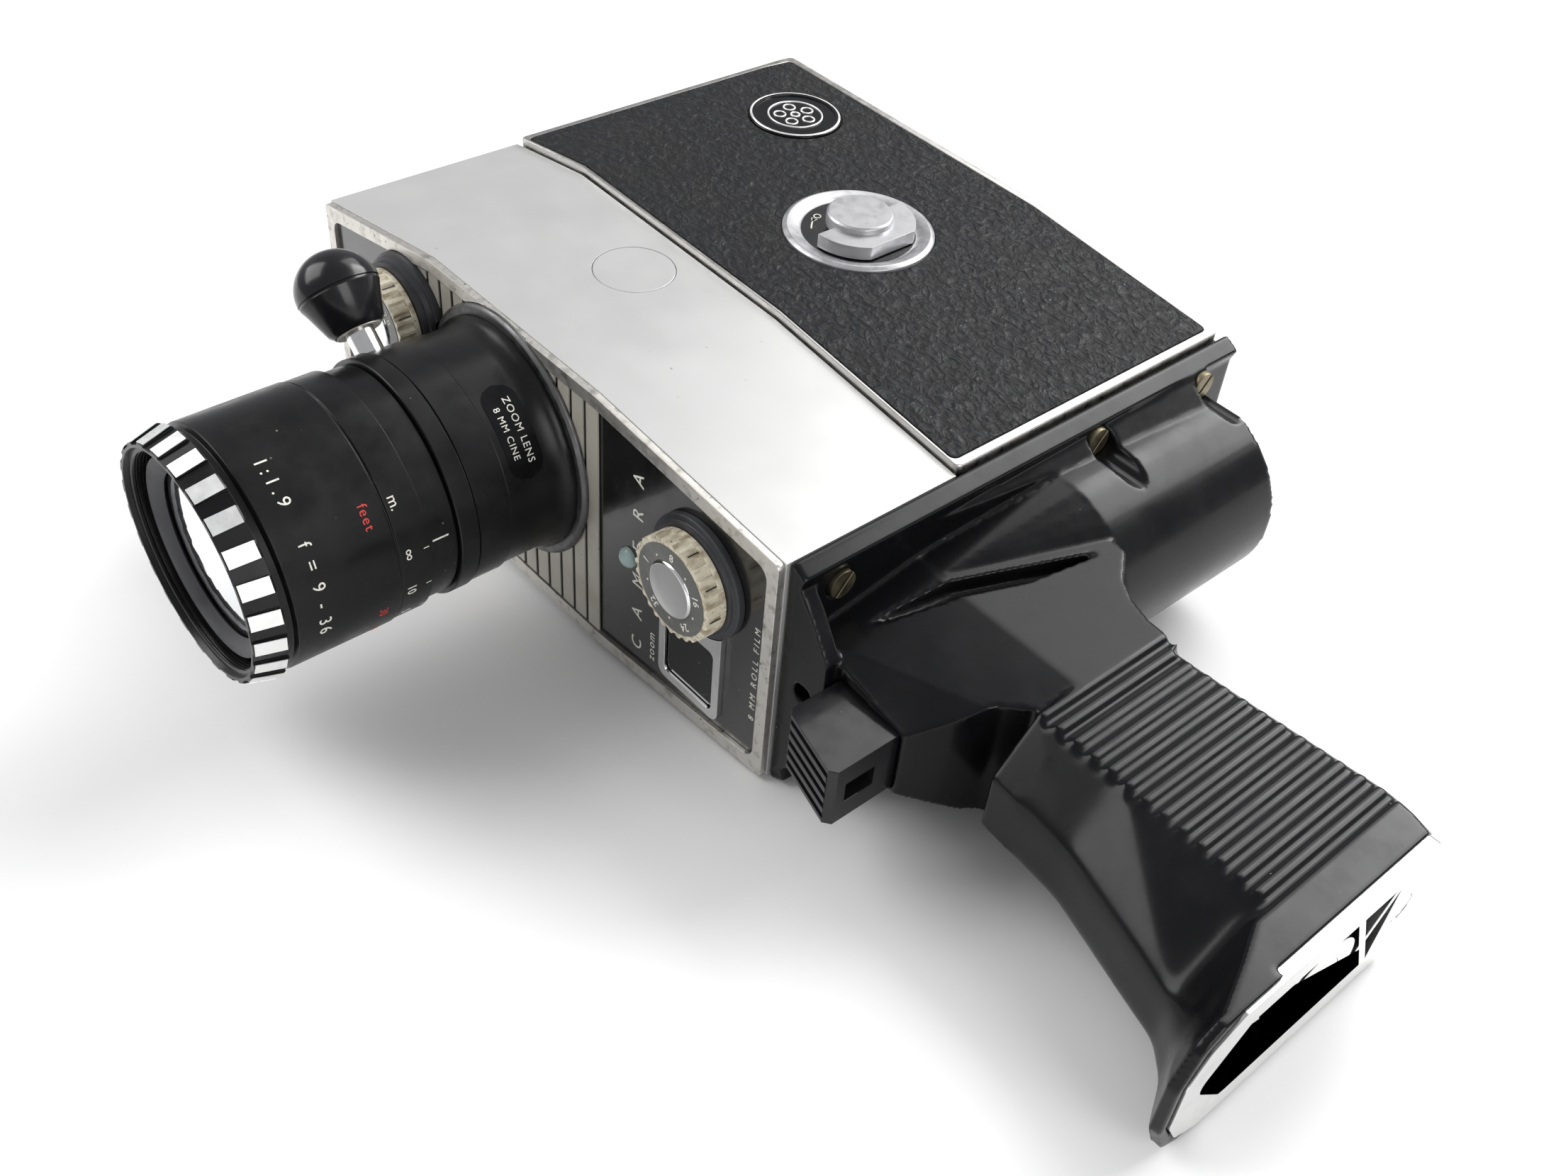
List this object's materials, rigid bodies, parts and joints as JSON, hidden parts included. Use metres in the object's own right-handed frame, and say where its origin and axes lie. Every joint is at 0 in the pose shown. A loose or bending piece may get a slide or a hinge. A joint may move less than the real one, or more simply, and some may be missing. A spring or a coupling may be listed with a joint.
{
  "type": "cine camera",
  "caption": "Pistol-grip 8 mm cine camera with a zoom lens, two dials on its face, a lift-off film door with a turning lock, a trigger and a winding crank.",
  "frame": {"origin": "centre of the underside of the whole object's box, as it lies on its right side", "axes": "+Z is the camera's left side with the film door, up; the lens looks along -Y; +X runs from the top of the body to the foot of the grip"},
  "size_m": [0.2254, 0.1712, 0.0637],
  "materials": {
    "silver_paint": "satin silver enamel",
    "panel_rim": "brushed satin",
    "black_casting": "semi-gloss black enamel",
    "grained_leather": "grained black leatherette",
    "black_panel": "gloss black front plate",
    "bezel_metal": "satin",
    "stripes": "satin pale grey bars",
    "chrome": "polished",
    "black_plastic": "gloss",
    "meter_window": "clear over dark cells",
    "bead_plastic": "milky green",
    "cell_steel": "bright",
    "dial_ivory": "ivory, semi-gloss",
    "dial_base": "satin",
    "flange_grey": "satin grey",
    "lens_black": "semi-gloss black anodised",
    "brass": "plain turned",
    "optical_glass": "coated",
    "steel": "plain",
    "spring_steel": "plain wire",
    "mirror": "front silvered",
    "white_dial": "matte white",
    "brass_screw": "aged plated",
    "badge": "gloss black, bright rim"
  },
  "bodies": {
    "camera_body": {"front_housing": "silver_paint", "body_casting": "black_casting", "right_cover": "panel_rim", "right_leather": "grained_leather", "counter_window": "optical_glass", "front_bezel": "bezel_metal", "name_panel": "black_panel", "stripe_panel": "stripes", "meter_frame": "chrome", "meter_glass": "meter_window", "indicator_bead": "bead_plastic", "battery_cell": "cell_steel", "speed_dial_base": "dial_base", "aperture_dial_base": "dial_base", "lens_flange": "flange_grey", "lens_barrel": "lens_black", "index_sleeve": "lens_black", "relay_lens": "optical_glass", "prism_bracket": "flange_grey", "beam_prism": "optical_glass", "grip_casting": "black_casting", "base_screws": "brass_screw", "foot_plate": "chrome", "foot_screws": "chrome", "tripod_bush": "chrome", "finder_mirror": "mirror", "film_gate": "steel", "trigger_spring": "spring_steel"},
    "counter": {"counter_dial": "white_dial"},
    "door": {"door_panel": "panel_rim", "door_leather": "grained_leather", "door_badge": "badge", "lock_ring": "chrome"},
    "lock": {"lock_key": "panel_rim"},
    "battery_lid": {"battery_cover": "silver_paint"},
    "speed_knob": {"speed_dial": "dial_ivory", "speed_dial_cap": "chrome"},
    "aperture_knob": {"aperture_dial": "dial_ivory", "aperture_dial_cap": "chrome"},
    "zoom": {"zoom_ring": "lens_black", "zoom_rod": "chrome", "zoom_knob": "black_plastic"},
    "variator": {"variator_cell": "brass", "variator_lens": "optical_glass"},
    "front_group": {"front_cell": "lens_black", "front_lens": "optical_glass"},
    "focus": {"focus_barrel": "lens_black", "fluted_ring": "lens_black"},
    "release": {"trigger": "black_plastic"},
    "eyepiece": {"eyepiece_ring": "black_plastic", "eyepiece_lens": "optical_glass"},
    "shutter": {"shutter_disc": "dial_base"},
    "claw": {"film_claw": "steel"},
    "pressure": {"pressure_plate": "steel"},
    "takeup": {"takeup_spindle": "steel", "takeup_spool": "flange_grey"},
    "supply": {"supply_spindle": "steel"},
    "mainspring": {"spring_barrel": "brass"},
    "crank": {"winding_crank": "chrome"},
    "handle": {"crank_handle": "black_plastic"}
  },
  "joints": [
    {"name": "door_slide", "type": "slide", "parent": "camera_body", "child": "door", "axis": [0, 0, 1], "range_m": [0, 0.04]},
    {"name": "lock_turn", "type": "hinge", "parent": "door", "child": "lock", "pos_m": [-0.0387, 0.04615, 0.0586], "axis": [0, 0, 1], "range_deg": [0, 90]},
    {"name": "battery_lid_slide", "type": "slide", "parent": "camera_body", "child": "battery_lid", "axis": [0, 0, 1], "range_m": [0, 0.02]},
    {"name": "focus_turn", "type": "hinge", "parent": "camera_body", "child": "focus", "pos_m": [-0.0523, -0.07285, 0.0345], "axis": [0, 1, 0], "range_deg": [0, 270]},
    {"name": "front_group_slide", "type": "slide", "parent": "camera_body", "child": "front_group", "axis": [0, -1, 0], "range_m": [0, 0.0025]},
    {"name": "zoom_turn", "type": "hinge", "parent": "camera_body", "child": "zoom", "pos_m": [-0.0523, -0.04285, 0.0345], "axis": [0, 1, 0], "range_deg": [-40, 50]},
    {"name": "variator_slide", "type": "slide", "parent": "camera_body", "child": "variator", "axis": [0, 1, 0], "range_m": [-0.0056, 0.0068]},
    {"name": "speed_turn", "type": "hinge", "parent": "camera_body", "child": "speed_knob", "pos_m": [0.0013, -0.02785, 0.0383], "axis": [0, 1, 0], "range_deg": [-120, 120]},
    {"name": "aperture_turn", "type": "hinge", "parent": "camera_body", "child": "aperture_knob", "pos_m": [-0.0837, -0.02985, 0.0426], "axis": [0, 1, 0], "range_deg": [-135, 135]},
    {"name": "trigger_press", "type": "slide", "parent": "camera_body", "child": "release", "axis": [0, 1, 0], "range_m": [0, 0.0038], "stiffness_N_per_m": 900, "springref_m": -0.002, "deforming": ["trigger_spring"]},
    {"name": "diopter_turn", "type": "hinge", "parent": "camera_body", "child": "eyepiece", "pos_m": [0.0339, 0.07115, 0.0296], "axis": [0, 1, 0], "range_deg": [-60, 60]},
    {"name": "counter_turn", "type": "hinge", "parent": "camera_body", "child": "counter", "pos_m": [-0.0817, 0.06115, 0.0036], "axis": [0, 0, 1], "continuous": true},
    {"name": "shutter_turn", "type": "hinge", "parent": "camera_body", "child": "shutter", "pos_m": [-0.0663, 0.00155, 0.0255], "axis": [0, 1, 0], "continuous": true},
    {"name": "claw_stroke", "type": "slide", "parent": "camera_body", "child": "claw", "axis": [1, 0, 0], "range_m": [-0.0019, 0.0019]},
    {"name": "pressure_lift", "type": "slide", "parent": "camera_body", "child": "pressure", "axis": [0, 1, 0], "range_m": [0, 0.002], "stiffness_N_per_m": 200, "springref_m": -0.001},
    {"name": "takeup_turn", "type": "hinge", "parent": "camera_body", "child": "takeup", "pos_m": [-0.0102, 0.05315, 0.0296], "axis": [0, 0, 1], "continuous": true},
    {"name": "supply_turn", "type": "hinge", "parent": "camera_body", "child": "supply", "pos_m": [-0.0737, 0.05315, 0.0296], "axis": [0, 0, 1], "continuous": true},
    {"name": "mainspring_turn", "type": "hinge", "parent": "camera_body", "child": "mainspring", "pos_m": [-0.0137, 0.04615, 0.0136], "axis": [0, 0, 1], "continuous": true},
    {"name": "crank_turn", "type": "hinge", "parent": "camera_body", "child": "crank", "pos_m": [-0.0137, 0.04615, 0.0036], "axis": [0, 0, 1], "continuous": true},
    {"name": "handle_fold", "type": "hinge", "parent": "crank", "child": "handle", "pos_m": [-0.0339, 0.04615, 0.003], "axis": [0, 1, 0], "range_deg": [0, 90]}
  ],
  "couplings": [
    {"joint": "front_group_slide", "follows": "focus_turn", "m_per_rad": 0.00053},
    {"joint": "variator_slide", "follows": "zoom_turn", "m_per_rad": 0.0077},
    {"joint": "mainspring_turn", "follows": "shutter_turn", "ratio": 0.0125},
    {"joint": "takeup_turn", "follows": "shutter_turn", "ratio": 0.0606},
    {"joint": "supply_turn", "follows": "shutter_turn", "ratio": 0.025},
    {"joint": "counter_turn", "follows": "shutter_turn", "ratio": 0.002}
  ]
}
